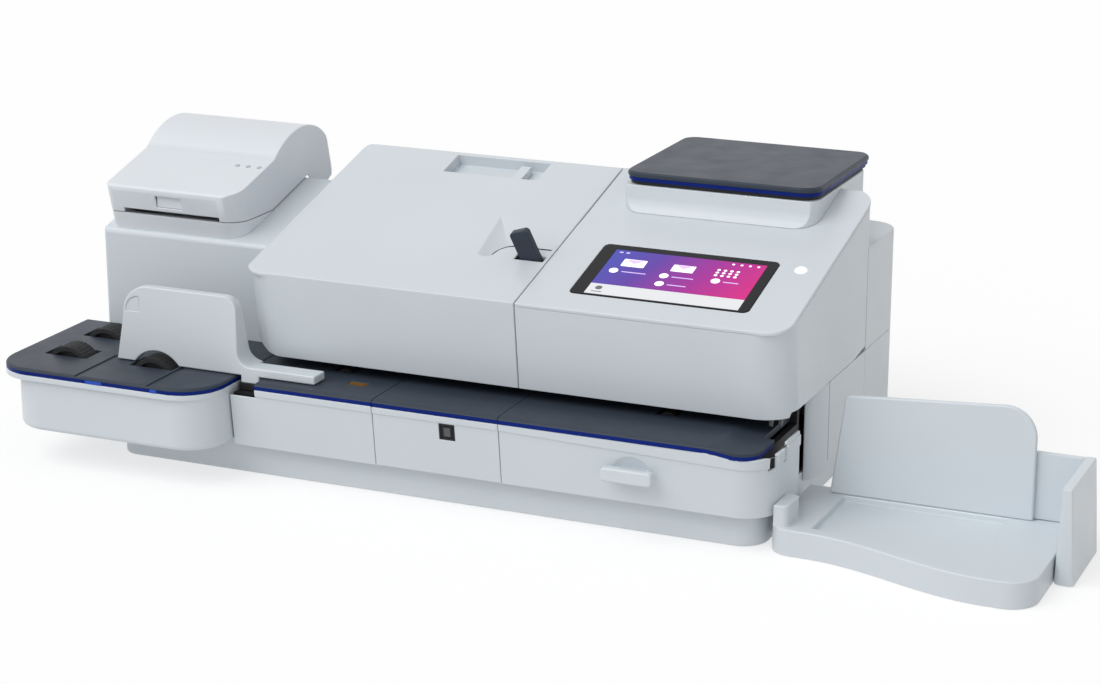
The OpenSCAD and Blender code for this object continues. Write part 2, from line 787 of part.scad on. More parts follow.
module load_cell() {
  color(steel) slab([cell_x - 50, cell_x + 50], [cell_y - 4, cell_y + 24], [240, 256]);
}

module scale_tray() {
  color(black) union() {
    raise([pedestal_z + 0.95, pedestal_z + 3.9])
      plan([plate_x + 3, plate_x + plate_w - 3], [plate_y + 3, plate_y + plate_d - 3], [18, 18, 14, 14]);
    translate([cell_x, cell_y + 6, 256.95]) cylinder(h = pedestal_z - 255, r = 6);
  }
}

module scale_band() {
  color(blue) raise([pedestal_z + 3.9, pedestal_z + 8.1])
    plan([plate_x + 1.2, plate_x + plate_w - 1.2], [plate_y + 1.2, plate_y + plate_d - 1.2], [19, 19, 15, 15]);
}

module scale_plate() {
  r = [20, 20, 16, 16];
  color(slate) hull() {
    for (k = [[8.1, 0.6], [9.3, 0], [11.6, 0.2], [13.3, 2.2]])
      raise([pedestal_z + k[0], pedestal_z + k[0] + 0.1])
        plan([plate_x + k[1], plate_x + plate_w - k[1]], [plate_y + k[1], plate_y + plate_d - k[1]],
          r - k[1]*[1, 1, 1, 1], $fn = 40);
  }
}

module rear_housing() {
  color(white) difference() {
    union() {
      raise([plinth_h, rear_z]) plan([-296, body_x], [box_y, rear_y], [0, 0, 30, 14]);
      slab([-296, -291], [50, box_y + 1], [plinth_h, cover_z - 3]);
    }
    slab([-290, body_x - 36], [box_y + 6, rear_y - 5], [plinth_h + 5, rear_z - 10]);
    slab([-300, -0.1], [box_y - 1, cover_back + 6], [rear_z - 4.5, rear_z + 1]);
    slab([180, 210], [rear_y - 6, rear_y + 5], [60, 84]);
    slab([body_x - 0.8, body_x + 1], [box_y - 1, rear_y - 30], [119.4, 120]);
  }
}

module power_inlet() {
  color(black) difference() {
    slab([180.1, 209.9], [rear_y - 5, rear_y + 0.8], [60.1, 83.9]);
    slab([184, 206], [rear_y - 4, rear_y + 5], [64, 80]);
    for (x = [188.5, 195, 201.5]) slab([x - 1, x + 1], [rear_y - 4.4, rear_y], [70, 75]);
  }
}

function tray_front(x) = foot_y - 6 - 46*ease((x - 305)/190);
function tray_pts(e) = concat(arc([272 + 22, foot_y + 16], 22 - e, 180, 270),
  [for (x = [300:8:500]) [x, tray_front(x) + e]],
  arc([tray_x - 28, foot_y - 24], 28 - e, 270, 360), [[tray_x - e, -60 - e], [272 + e, -60 - e]]);

module stacker_base() {
  color(white) difference() {
    union() {
      raise([0, tray_top]) polygon(tray_pts(0));
      raise([tray_top - 1, 47]) plan([body_x + 0.1, 291], [-186, -150], [1, 6, 4, 1]);
      slab([264.1, 280], [-140, -100], [2, 20]);
    }
    raise([tray_top - 6, tray_top + 10]) polygon(concat([for (x = [312:8:464]) [x, tray_front(x) + 15]],
      arc([462, -196], 12, -45, 0, 4), [[474, -78.5], [312, -78.5]]));
    slab([430, 560], [-120, -100], [6, 12]);
  }
}

module stacker_back() {
  color(white) front_prism([-77, -71]) polygon(concat([[297, tray_top]],
    arc([316, 119.5], 7, 172, 93.4, 6), arc([466, 106.2], 30, 93.4, 0, 12), [[496, tray_top]]));
}

module stacker_end() {
  color(white) union() {
    intersection() {
      front_prism([-165, -63]) polygon([[tray_x + 1, 0.6], [556, 0.6], [550, 93], [541, 93]]);
      raise([0, 100]) plan([tray_x, 558], [-163, -64], [8, 8, 8, 3]);
    }
    front_prism([-70.4, -64]) plan([440, 545], [tray_top + 0.5, 92.5], [0, 0, 0, 8]);
    slab([434, tray_x + 4], [-119.5, -100.5], [6.5, 11.5]);
  }
}

plinth();
base_pads();
chassis();
left_panel();
right_panel();
tank_front();
tank();
level_window();
deck_left();
deck_mid();
deck_right();
trim_left();
trim_mid();
trim_right();
feed_sensor();
pull_bar();
roller_carriage();
drive_roller();
exit_roller();
exit_wall();
side_wall();
exit_fins();
feeder_pan();
feeder_deck();
feeder_trim();
feed_bearings();
feed_shaft_left();
feed_shaft_right();
feed_wheels_left();
feed_wheels_right();
side_guide();
guide_foot();
tower();
printer_base();
printer_lid();
printer_latch();
printer_lamps();
platen_roller();
label_spindle();
label_roll();
left_lid();
lid_hinge_rod();
lid_latch();
release_lever();
lever_pin();
display_top();
right_front();
bezel();
screen();
power_button();
scale_pedestal();
load_cell();
scale_tray();
scale_band();
scale_plate();
rear_housing();
power_inlet();
stacker_base();
stacker_back();
stacker_end();
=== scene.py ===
# Mailing machine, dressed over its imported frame: moulded covers with soft edges, lit screen,
# ribbed feed wheels, studio light and a camera at the photograph's angle. Metres, +Z up.
import json
import math
import bmesh
import bpy
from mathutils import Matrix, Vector
from mathutils.bvhtree import BVHTree

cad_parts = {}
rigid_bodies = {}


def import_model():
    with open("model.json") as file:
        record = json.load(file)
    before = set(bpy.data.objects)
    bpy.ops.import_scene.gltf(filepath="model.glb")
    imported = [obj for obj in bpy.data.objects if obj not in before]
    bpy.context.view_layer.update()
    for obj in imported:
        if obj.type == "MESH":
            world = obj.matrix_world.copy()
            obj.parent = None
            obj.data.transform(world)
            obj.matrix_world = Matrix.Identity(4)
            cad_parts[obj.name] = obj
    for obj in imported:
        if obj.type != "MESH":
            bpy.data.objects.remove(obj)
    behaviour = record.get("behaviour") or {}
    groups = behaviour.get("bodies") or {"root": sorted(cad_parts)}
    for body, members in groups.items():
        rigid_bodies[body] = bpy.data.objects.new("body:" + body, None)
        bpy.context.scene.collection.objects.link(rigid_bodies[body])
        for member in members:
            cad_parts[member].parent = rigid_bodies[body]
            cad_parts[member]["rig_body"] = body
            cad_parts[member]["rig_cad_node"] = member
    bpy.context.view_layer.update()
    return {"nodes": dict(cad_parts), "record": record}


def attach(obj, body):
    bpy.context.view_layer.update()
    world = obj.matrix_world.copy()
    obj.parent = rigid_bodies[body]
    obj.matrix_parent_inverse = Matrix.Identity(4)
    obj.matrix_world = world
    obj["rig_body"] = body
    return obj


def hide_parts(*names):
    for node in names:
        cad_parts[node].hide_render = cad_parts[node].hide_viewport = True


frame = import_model()
nodes = frame["nodes"]
record = frame["record"]
rides_on = {n: body for body, members in record["behaviour"]["bodies"].items() for n in members}
slot_of = {s["node"]: s["material_slot"] for s in record["subparts"]}

MM = 0.001
SLOPE = math.radians(15)
ALONG = Vector((0, math.cos(SLOPE), math.sin(SLOPE)))
OUT = Vector((0, -math.sin(SLOPE), math.cos(SLOPE)))
BROW = Vector((0, -160, 204.5)) * MM


# Finishes

DRIFT = 6         # scale of the slow drift of a plastic's colour
SHEEN = 35        # scale of its uneven sheen


def new_finish(name):
    finish = bpy.data.materials.new(name)
    finish.use_nodes = True
    tree = finish.node_tree
    place = tree.nodes.new("ShaderNodeTexCoord").outputs["Object"]
    return finish, tree, tree.nodes["Principled BSDF"], place


def speckle(tree, place, scale, detail=2.0, stretch=None):
    if stretch:
        mapping = tree.nodes.new("ShaderNodeMapping")
        mapping.inputs["Scale"].default_value = stretch
        tree.links.new(place, mapping.inputs["Vector"])
        place = mapping.outputs["Vector"]
    noise = tree.nodes.new("ShaderNodeTexNoise")
    noise.inputs["Scale"].default_value = scale
    noise.inputs["Detail"].default_value = detail
    tree.links.new(place, noise.inputs["Vector"])
    return noise.outputs["Fac"]


def two_tone(tree, amount, dark, light):
    ramp = tree.nodes.new("ShaderNodeValToRGB")
    ramp.color_ramp.elements[0].position = 0.3
    ramp.color_ramp.elements[0].color = (*dark, 1)
    ramp.color_ramp.elements[1].position = 0.7
    ramp.color_ramp.elements[1].color = (*light, 1)
    tree.links.new(amount, ramp.inputs["Fac"])
    return ramp.outputs["Color"]


def spread(tree, amount, low, high):
    span = tree.nodes.new("ShaderNodeMapRange")
    span.inputs["From Min"].default_value = 0.25
    span.inputs["From Max"].default_value = 0.75
    span.inputs["To Min"].default_value = low
    span.inputs["To Max"].default_value = high
    tree.links.new(amount, span.inputs["Value"])
    return span.outputs["Result"]


def relief(tree, shader, amount, strength, depth):
    bump = tree.nodes.new("ShaderNodeBump")
    bump.inputs["Strength"].default_value = strength
    bump.inputs["Distance"].default_value = depth
    tree.links.new(amount, bump.inputs["Height"])
    tree.links.new(bump.outputs["Normal"], shader.inputs["Normal"])


def moulded(name, colour, rough, grain=1500.0, depth=0.00003, mottle=0.02, coat=0.0, shine=0.5):
    """Moulded plastic: slow drift of the colour, uneven sheen and a fine spark-eroded grain."""
    finish, tree, shader, place = new_finish(name)
    dark = [c * (1 - mottle) for c in colour]
    light = [min(1, c * (1 + mottle)) for c in colour]
    tint = two_tone(tree, speckle(tree, place, DRIFT), dark, light)
    tree.links.new(tint, shader.inputs["Base Color"])
    sheen = spread(tree, speckle(tree, place, SHEEN), rough - 0.04, rough + 0.05)
    tree.links.new(sheen, shader.inputs["Roughness"])
    relief(tree, shader, speckle(tree, place, grain), 0.25, depth)
    shader.inputs["Specular IOR Level"].default_value = shine
    shader.inputs["Coat Weight"].default_value = coat
    shader.inputs["Coat Roughness"].default_value = 0.12
    return finish


def rubber(name, colour):
    finish, tree, shader, place = new_finish(name)
    dark = [c * 0.8 for c in colour]
    tint = two_tone(tree, speckle(tree, place, 60), dark, colour)
    tree.links.new(tint, shader.inputs["Base Color"])
    sheen = spread(tree, speckle(tree, place, 250), 0.62, 0.8)
    tree.links.new(sheen, shader.inputs["Roughness"])
    relief(tree, shader, speckle(tree, place, 900), 0.4, 0.00006)
    return finish


def ground_steel(name):
    finish, tree, shader, place = new_finish(name)
    turned = speckle(tree, place, 60, 4, (1, 40, 40))
    tint = two_tone(tree, turned, (0.5, 0.51, 0.52), (0.66, 0.67, 0.68))
    tree.links.new(tint, shader.inputs["Base Color"])
    tree.links.new(spread(tree, turned, 0.22, 0.4), shader.inputs["Roughness"])
    relief(tree, shader, turned, 0.1, 0.00003)
    shader.inputs["Metallic"].default_value = 1
    return finish


def label_paper(name):
    finish, tree, shader, place = new_finish(name)
    wound = speckle(tree, place, 900, 3, (0.1, 1, 1))
    tint = two_tone(tree, wound, (0.74, 0.73, 0.7), (0.86, 0.85, 0.83))
    tree.links.new(tint, shader.inputs["Base Color"])
    tree.links.new(spread(tree, wound, 0.6, 0.75), shader.inputs["Roughness"])
    relief(tree, shader, wound, 0.2, 0.00005)
    return finish


def lit(name, colour, strength):
    """Lit lens or menu piece."""
    finish, tree, shader, place = new_finish(name)
    glow = two_tone(tree, speckle(tree, place, 400), [c * 0.94 for c in colour], colour)
    tree.links.new(glow, shader.inputs["Base Color"])
    tree.links.new(glow, shader.inputs["Emission Color"])
    shader.inputs["Emission Strength"].default_value = strength
    shader.inputs["Roughness"].default_value = 0.2
    return finish


SCREEN_LEFT = 0.0596       # the lit panel's left edge, in metres
SCREEN_FOOT = 0.0336       # its lower edge, up the slope from the covers' front edge
SCREEN_LEAN = -0.35        # the colours' change leans to the right towards the panel's top
SCREEN_BAR = 0.0195        # height of the white bar along the panel's foot
SCREEN_COLOURS = ((0.0, (0.055, 0.075, 0.47)), (0.3, (0.11, 0.04, 0.38)),
                  (0.62, (0.36, 0.012, 0.31)), (1.0, (0.7, 0.004, 0.22)))


def display(name):
    """Lit panel: blue runs through purple to magenta from left to right, above a white bar."""
    finish, tree, shader, place = new_finish(name)
    turn = tree.nodes.new("ShaderNodeMapping")
    turn.inputs["Rotation"].default_value = (-SLOPE, 0, 0)
    turn.inputs["Location"].default_value = (-SCREEN_LEFT, -(BROW.dot(ALONG)) - SCREEN_FOOT, 0)
    tree.links.new(place, turn.inputs["Vector"])
    split = tree.nodes.new("ShaderNodeSeparateXYZ")
    tree.links.new(turn.outputs["Vector"], split.inputs["Vector"])
    lean = tree.nodes.new("ShaderNodeMath")
    lean.operation = "MULTIPLY_ADD"
    lean.inputs[1].default_value = SCREEN_LEAN
    tree.links.new(split.outputs["Y"], lean.inputs[0])
    tree.links.new(split.outputs["X"], lean.inputs[2])
    across = tree.nodes.new("ShaderNodeMapRange")
    across.inputs["From Min"].default_value = -0.03
    across.inputs["From Max"].default_value = 0.15
    tree.links.new(lean.outputs["Value"], across.inputs["Value"])
    ramp = tree.nodes.new("ShaderNodeValToRGB")
    while len(ramp.color_ramp.elements) < len(SCREEN_COLOURS):
        ramp.color_ramp.elements.new(0.5)
    for stop, (at, colour) in zip(ramp.color_ramp.elements, SCREEN_COLOURS):
        stop.position = at
        stop.color = (*colour, 1)
    tree.links.new(across.outputs["Result"], ramp.inputs["Fac"])
    bar = tree.nodes.new("ShaderNodeMath")
    bar.operation = "LESS_THAN"
    bar.inputs[1].default_value = SCREEN_BAR
    tree.links.new(split.outputs["Y"], bar.inputs[0])
    mix = tree.nodes.new("ShaderNodeMix")
    mix.data_type = "RGBA"
    mix.inputs["B"].default_value = (0.8, 0.81, 0.83, 1)
    tree.links.new(bar.outputs["Value"], mix.inputs["Factor"])
    tree.links.new(ramp.outputs["Color"], mix.inputs["A"])
    tree.links.new(mix.outputs["Result"], shader.inputs["Emission Color"])
    shader.inputs["Base Color"].default_value = (0.01, 0.01, 0.012, 1)
    shader.inputs["Emission Strength"].default_value = 1.0
    shader.inputs["Roughness"].default_value = 0.14
    shader.inputs["Specular IOR Level"].default_value = 0.12
    return finish


finishes = {
    "white_plastic": moulded("white_plastic", (0.655, 0.705, 0.745), 0.36, coat=0.08, shine=0.4),
    "printer_plastic": moulded("printer_plastic", (0.735, 0.77, 0.815), 0.4, coat=0.05, shine=0.4),
    "slate_plastic": moulded("slate_plastic", (0.036, 0.047, 0.066), 0.42, 1100, 0.00006, 0.08, shine=0.22),
    "blue_trim": moulded("blue_trim", (0.003, 0.017, 0.175), 0.34, 800, 0.00001, 0.05, shine=0.1),
    "black_plastic": moulded("black_plastic", (0.012, 0.012, 0.014), 0.55, 1000, 0.00005, 0.1, shine=0.3),
    "fin_grey": moulded("fin_grey", (0.13, 0.13, 0.135), 0.5, 1000, 0.00004, 0.06, shine=0.3),
    "black_rubber": rubber("black_rubber", (0.013, 0.013, 0.015)),
    "steel": ground_steel("steel"),
    "tank_plastic": moulded("tank_plastic", (0.5, 0.54, 0.58), 0.3, 900, 0.00003, 0.04),
    "dark_window": moulded("dark_window", (0.02, 0.02, 0.022), 0.3, 700, 0.000005, 0.1, shine=0.2),
    "tube_grey": moulded("tube_grey", (0.11, 0.11, 0.12), 0.4, 900, 0.00002, 0.06, shine=0.3),
    "amber_lens": moulded("amber_lens", (0.2, 0.1, 0.015), 0.2, 700, 0.00001, 0.15, 0.3),
    "lamp_lens": moulded("lamp_lens", (0.5, 0.52, 0.55), 0.2, 700, 0.00001, 0.05, 0.3),
    "spindle_plastic": moulded("spindle_plastic", (0.42, 0.44, 0.47), 0.5, 1100, 0.00004, 0.05),
    "paper": label_paper("paper"),
    "black_glass": moulded("black_glass", (0.008, 0.008, 0.01), 0.1, 500, 0.000002, 0.1, shine=0.12),
    "screen_glass": display("screen_glass"),
    "button_lens": lit("button_lens", (0.9, 0.94, 1.0), 0.9),
    "menu_white": lit("menu_white", (0.86, 0.85, 0.9), 0.9),
    "menu_lilac": lit("menu_lilac", (0.5, 0.36, 0.68), 0.8),
    "menu_grey": lit("menu_grey", (0.1, 0.1, 0.11), 0.3),
    "trim_spot": moulded("trim_spot", (0.02, 0.085, 0.5), 0.25, 800, 0.00001, 0.05, shine=0.3),
}
for name, node in nodes.items():
    node.data.materials.clear()
    node.data.materials.append(finishes["fin_grey" if name == "exit_fins" else slot_of[name]])


# Working on one piece at a time

def only(piece):
    bpy.ops.object.select_all(action="DESELECT")
    piece.select_set(True)
    bpy.context.view_layer.objects.active = piece


def fit(piece, name, body, slot, finish=None, replaced=()):
    """Names a finished piece, gives it its finish and lets it ride on its body."""
    only(piece)
    bpy.ops.object.transform_apply(location=True, rotation=True, scale=True)
    piece.name = name
    piece.data.name = name
    piece.data.materials.clear()
    piece.data.materials.append(finishes[finish or slot])
    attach(piece, body)
    if replaced:
        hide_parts(*replaced)
    return piece


def smooth(piece, degrees=35):
    only(piece)
    bpy.ops.object.shade_smooth_by_angle(angle=math.radians(degrees))
    weigh = piece.modifiers.new("weigh", "WEIGHTED_NORMAL")
    weigh.keep_sharp = True
    bpy.ops.object.modifier_apply(modifier="weigh")


def edit(piece, kind="FACE"):
    only(piece)
    bpy.ops.object.mode_set(mode="EDIT")
    bpy.ops.mesh.select_mode(type=kind)
    bpy.ops.mesh.select_all(action="DESELECT")


def pick_faces(piece, wanted):
    """Selects the faces that wanted(centre in mm, normal) takes."""
    shape = bmesh.from_edit_mesh(piece.data)
    bpy.ops.mesh.select_all(action="DESELECT")
    for face in shape.faces:
        face.select_set(wanted(face.calc_center_median() / MM, face.normal))
    bmesh.update_edit_mesh(piece.data)


def pick_edges(piece, wanted):
    """Selects the edges that wanted(one end, other end), in mm, takes."""
    shape = bmesh.from_edit_mesh(piece.data)
    for edge in shape.edges:
        edge.select_set(wanted(edge.verts[0].co / MM, edge.verts[1].co / MM))
    bmesh.update_edit_mesh(piece.data)


def pick_points(piece, wanted):
    """Selects the points that wanted(place in mm) takes."""
    bpy.ops.mesh.select_mode(type="VERT")
    bpy.ops.mesh.select_all(action="DESELECT")
    shape = bmesh.from_edit_mesh(piece.data)
    for point in shape.verts:
        point.select_set(wanted(point.co / MM))
    shape.select_flush_mode()
    bmesh.update_edit_mesh(piece.data)


def block(wide, deep, high, centre=(0, 0, 0)):
    bpy.ops.object.select_all(action="DESELECT")
    bpy.ops.mesh.primitive_cube_add(size=1, location=Vector(centre) * MM)
    piece = bpy.context.active_object
    piece.scale = Vector((wide, deep, high)) * MM
    bpy.ops.object.transform_apply(location=True, rotation=True, scale=True)
    return piece


def disc(radius, thick, sides):
    bpy.ops.object.select_all(action="DESELECT")
    bpy.ops.mesh.primitive_cylinder_add(vertices=sides, radius=radius * MM, depth=thick * MM)
    return bpy.context.active_object


def joined(pieces):
    bpy.ops.object.select_all(action="DESELECT")
    for piece in pieces:
        piece.select_set(True)
    bpy.context.view_layer.objects.active = pieces[0]
    bpy.ops.object.join()
    return pieces[0]


def round_off(piece, radius, steps):
    """Rounds every sharp edge of a shaped piece."""
    only(piece)
    bevel = piece.modifiers.new("round", "BEVEL")
    bevel.width = radius * MM
    bevel.segments = steps
    bevel.limit_method = "ANGLE"
    bevel.angle_limit = math.radians(40)
    bpy.ops.object.modifier_apply(modifier="round")
    smooth(piece)


def cover_point(x, s, n):
    """Place on the upper covers: x across, s up the slope from the front edge, n out of it, in mm."""
    return BROW + Vector((x * MM, 0, 0)) + ALONG * (s * MM) + OUT * (n * MM)


def along_cover(place):
    return (place - BROW / MM).dot(ALONG)


def above_cover(place):
    return (place - BROW / MM).dot(OUT)


SHARP = math.radians(28)       # edges sharper than this are rounded
FLAT = math.radians(0.3)       # faces that meet flatter than this are one face
ROOM_SHARE = 0.42              # most of the room beside an edge that its rounding takes
MERGE = 2e-6                   # points nearer than this, in metres, are one point
SLIVER = 1e-6                  # shortest edge that is kept after a fold is mended, in metres
FOLD_REACH = 6.0               # largest fold that is mended, in mm
FOLD_PASSES = 6


def room_beside(edge, solid):
    """How far, in mm, the solid goes on from an edge, along each of its faces, at the narrowest
    place tried."""
    a, b = edge.verts[0].co, edge.verts[1].co
    least = 1000.0
    for loop in edge.link_loops:
        face = loop.face
        inward = face.normal.cross(loop.link_loop_next.vert.co - loop.vert.co).normalized()
        for share in (0.1, 0.5, 0.9):
            start = a.lerp(b, share) + inward * 2e-5 - face.normal * 5e-5
            hit = solid.ray_cast(start, (inward - face.normal * 0.25).normalized())
            if hit[0] is not None:
                least = min(least, hit[3] / MM)
    return least


def crossing(p, q, r, s):
    """Where the flat lines p-q and r-s cross between their ends, as a share of p-q, or None."""
    first, second = q - p, s - r
    turn = first.cross(second)
    if abs(turn) < 1e-16:
        return None
    share, other = (r - p).cross(second) / turn, (r - p).cross(first) / turn
    return share if 1e-4 < share < 1 - 1e-4 and 1e-4 < other < 1 - 1e-4 else None


def fold_in(face):
    """First place where a face's outline crosses itself: the points of the small loop there, and
    the crossing."""
    points = list(face.verts)
    count = len(points)
    right = face.normal.orthogonal().normalized()
    up = face.normal.cross(right)
    flat = [Vector((v.co.dot(right), v.co.dot(up))) for v in points]
    for i in range(count - 2):
        for j in range(i + 2, count - (i == 0)):
            share = crossing(flat[i], flat[i + 1], flat[j], flat[(j + 1) % count])
            if share is None:
                continue
            place = points[i].co.lerp(points[i + 1].co, share)
            loops = [[points[k % count] for k in range(i + 1, j + 1)],
                     [points[k % count] for k in range(j + 1, i + 1 + count)]]
            loops.sort(key=lambda loop: max((v.co - place).length for v in loop))
            return loops[0], place
    return None


def mend_folds(piece):
    """Rounding can fold a corner of a flat face over itself: such a fold is drawn together where
    its sides cross."""
    for _ in range(FOLD_PASSES):
        shape = bmesh.new()
        shape.from_mesh(piece.data)
        moved = set()
        for face in shape.faces:
            found = fold_in(face) if len(face.verts) > 3 and not moved.intersection(face.verts) else None
            if found and max((v.co - found[1]).length for v in found[0]) < FOLD_REACH * MM:
                for point in found[0]:
                    point.co = found[1]
                moved.update(face.verts)
        bmesh.ops.remove_doubles(shape, verts=shape.verts, dist=SLIVER)
        bmesh.ops.dissolve_degenerate(shape, edges=shape.edges, dist=SLIVER)
        shape.to_mesh(piece.data)
        shape.free()
        if not moved:
            break


def soften(node, radius, inner=0.0, near=(), steps=3, reshape=None):
    """Copy of a CAD node with its sharp edges rounded. near gives boxes, in mm, with a radius of their own.
    reshape is called in edit mode, before the edges are rounded."""
    source = nodes[node]
    only(source)
    bpy.ops.object.duplicate()
    piece = bpy.context.active_object
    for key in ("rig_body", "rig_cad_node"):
        if key in piece:
            del piece[key]
    piece.parent = None
    if piece.data.has_custom_normals:
        bpy.ops.mesh.customdata_custom_splitnormals_clear()
    bpy.ops.object.mode_set(mode="EDIT")
    bpy.ops.mesh.select_all(action="SELECT")
    bpy.ops.mesh.remove_doubles(threshold=MERGE)
    bpy.ops.mesh.dissolve_limited(angle_limit=FLAT)
    if reshape:
        reshape(piece)
    bpy.ops.object.mode_set(mode="OBJECT")
    most = max([radius, inner] + [r for _, _, r in near])
    shape = bmesh.new()
    shape.from_mesh(piece.data)
    solid = BVHTree.FromBMesh(shape)
    layers = shape.edges.layers.float
    weight = layers.get("bevel_weight_edge") or layers.new("bevel_weight_edge")
    for edge in shape.edges:
        if len(edge.link_faces) != 2 or edge.calc_face_angle(0) < SHARP:
            continue
        wanted = radius if edge.is_convex else inner
        ends = [v.co / MM for v in edge.verts]
        for low, high, r in near:
            if all(low[i] - 0.01 <= p[i] <= high[i] + 0.01 for p in ends for i in range(3)):
                wanted = r
        if edge.is_convex:
            wanted = min(wanted, ROOM_SHARE * room_beside(edge, solid))
        edge[weight] = wanted / most
    shape.to_mesh(piece.data)
    shape.free()
    bevel = piece.modifiers.new("round", "BEVEL")
    bevel.limit_method = "WEIGHT"
    bevel.width = most * MM
    bevel.segments = steps
    bevel.use_clamp_overlap = False
    bevel.loop_slide = False
    bpy.ops.object.modifier_apply(modifier="round")
    mend_folds(piece)
    smooth(piece)
    return fit(piece, node + "_moulding", rides_on[node], slot_of[node], replaced=(node,))


CREASE = (163, 168)       # where the crease begins and ends, up the slope
CREASE_DROP = 0.35


def top_crease(piece):
    """A fold across the right cover's top: behind it the surface lies a little lower."""
    for along in CREASE:
        bpy.ops.mesh.select_all(action="SELECT")
        bpy.ops.mesh.bisect(plane_co=cover_point(0, along, 0), plane_no=ALONG)
    pick_points(piece, lambda p: along_cover(p) > CREASE[1] - 0.1 and above_cover(p) > -0.1)
    bpy.ops.transform.translate(value=OUT * (-CREASE_DROP * MM))


def stand_proud(forward, up):
    """Brings the outer side of a trim strip forward and its top up, in mm, so that it shows below
    the deck's edge."""
    def shift(piece):
        pick_faces(piece, lambda c, n: n.y < -0.3)
        bpy.ops.transform.translate(value=(0, -forward * MM, 0))
        pick_faces(piece, lambda c, n: n.z > 0.9)
        bpy.ops.transform.translate(value=(0, 0, up * MM))
    return shift


LATCH_LEAN = 2.4


def thumb_dip(piece):
    """The printer's latch leans back towards its top, where a thumb presses."""
    top = max(p.co.z / MM for p in piece.data.vertices)
    front = min(p.co.y / MM for p in piece.data.vertices)
    pick_points(piece, lambda p: p.z > top - 4 and p.y < front + 3)
    bpy.ops.transform.translate(value=(0, LATCH_LEAN * MM, 0))


# Rounding of each node's outer edges, in mm
edge_radius = {
    "plinth": 1.2, "left_panel": 0.9, "right_panel": 0.9, "tank_front": 0.9,
    "pull_bar": 2.2, "exit_wall": 1.2, "side_wall": 0.3, "side_guide": 1.6,
    "tower": 1.5, "printer_base": 0.4, "printer_lid": 1.1,
    "lid_latch": 1.2, "right_front": 0.3, "stacker_back": 2.0, "stacker_end": 1.0,
    "deck_left": 0.7, "deck_mid": 0.7,
    "feeder_deck": 0.6, "release_lever": 1.4, "bezel": 0.25, "power_button": 0.8,
    "scale_band": 0.5, "power_inlet": 0.6, "guide_foot": 0.6, "roller_carriage": 0.8,
}
for name, radius in edge_radius.items():
    soften(name, radius)

# Places with a rounding of their own: two corners of a box, and the radius
pan_foot = ((-560, -265, 37.9), (-285, -70, 38.1), 5.0)
pan_rim = ((-560, -265, 91.6), (-285, -70, 91.8), 0.3)
lid_skirt = ((-310, -165, 114.9), (0, 95, 121.1), 0.3)
lid_skirt_step = ((-310, -165, 117.9), (0, 95, 118.1), 0.0)
lid_rear = ((-310, 105, 225), (0, 128, 262), 0.3)
pedestal_neck = ((20, 20, 226), (260, 215, 281.5), 0.2)
stacker_foot = ((260, -250, -0.1), (560, -50, 0.1), 0.6)
housing_front = ((200, 94.9, 30), (280, 95.1, 230), 0.15)
housing_seam = ((270, 94, 119), (280, 200, 120.5), 0.15)

soften("feeder_pan", 1.2, near=[pan_foot, pan_rim], steps=5)
soften("left_lid", 1.1, near=[lid_skirt, lid_skirt_step, lid_rear])
soften("display_top", 1.1, reshape=top_crease)
soften("scale_pedestal", 1.2, near=[pedestal_neck])
soften("stacker_base", 1.6, 0.8, near=[stacker_foot])
soften("deck_right", 0.2)
for name in ("trim_left", "trim_mid", "trim_right"):
    soften(name, 0.3, reshape=stand_proud(0.7, 0.7))
soften("feeder_trim", 0.3, reshape=stand_proud(0.25, 0.0))
soften("printer_latch", 0.4, reshape=thumb_dip)
soften("rear_housing", 1.6, near=[housing_front, housing_seam])


# Feed wheels: ribbed tyres on open hubs

TYRE_RADIUS = 25.6
TYRE_WIDE = 24
RIB_HIGH = 0.35
RIB_DEGREES = 5            # ribs and grooves follow each other at this angle
SHAFT_RADIUS = 5.4
AXLE_Z = 87
WHEEL_YS = (-189, -118)


def feed_wheel():
    """One wheel about the Y axis, its hub hollowed at the front and bored for the shaft."""
    piece = disc(TYRE_RADIUS, TYRE_WIDE, 360 // RIB_DEGREES)
    edit(piece)
    pick_faces(piece, lambda c, n: n.z > 0.9)
    bpy.ops.mesh.inset(thickness=4.6 * MM)
    bpy.ops.mesh.extrude_region_move(TRANSFORM_OT_translate={"value": (0, 0, -5 * MM)})
    bpy.ops.mesh.inset(thickness=10 * MM)
    bpy.ops.mesh.extrude_region_move(TRANSFORM_OT_translate={"value": (0, 0, 3 * MM)})
    bpy.ops.mesh.inset(thickness=5.6 * MM)
    pick_faces(piece, lambda c, n: n.z < -0.9)
    bpy.ops.mesh.inset(thickness=(TYRE_RADIUS - SHAFT_RADIUS) * MM)
    pick_faces(piece, lambda c, n: abs(n.z) > 0.9 and c.xy.length < 0.1)
    bpy.ops.mesh.bridge_edge_loops()
    pick_faces(piece, lambda c, n: abs(n.z) < 0.1 and c.xy.length > 24
               and round(math.degrees(math.atan2(c.y, c.x)) / RIB_DEGREES - 0.5) % 2 == 0)
    bpy.ops.mesh.extrude_region_shrink_fatten(TRANSFORM_OT_shrink_fatten={"value": RIB_HIGH * MM})
    bpy.ops.object.mode_set(mode="OBJECT")
    round_off(piece, 0.35, 2)
    piece.rotation_euler = (math.radians(90), 0, 0)
    bpy.ops.object.transform_apply(location=True, rotation=True, scale=True)
    return piece


def wheel_pair(name, body, x, node):
    wheels = []
    for y in WHEEL_YS:
        wheel = feed_wheel()
        wheel.location = Vector((x, y, AXLE_Z)) * MM
        bpy.ops.object.transform_apply(location=True, rotation=True, scale=True)
        wheels.append(wheel)
    fit(joined(wheels), name, body, "black_rubber", replaced=(node,))


wheel_pair("feed_tyres_left", "feed_left", -487, "feed_wheels_left")
wheel_pair("feed_tyres_right", "feed_right", -385, "feed_wheels_right")


# Small pieces on the front

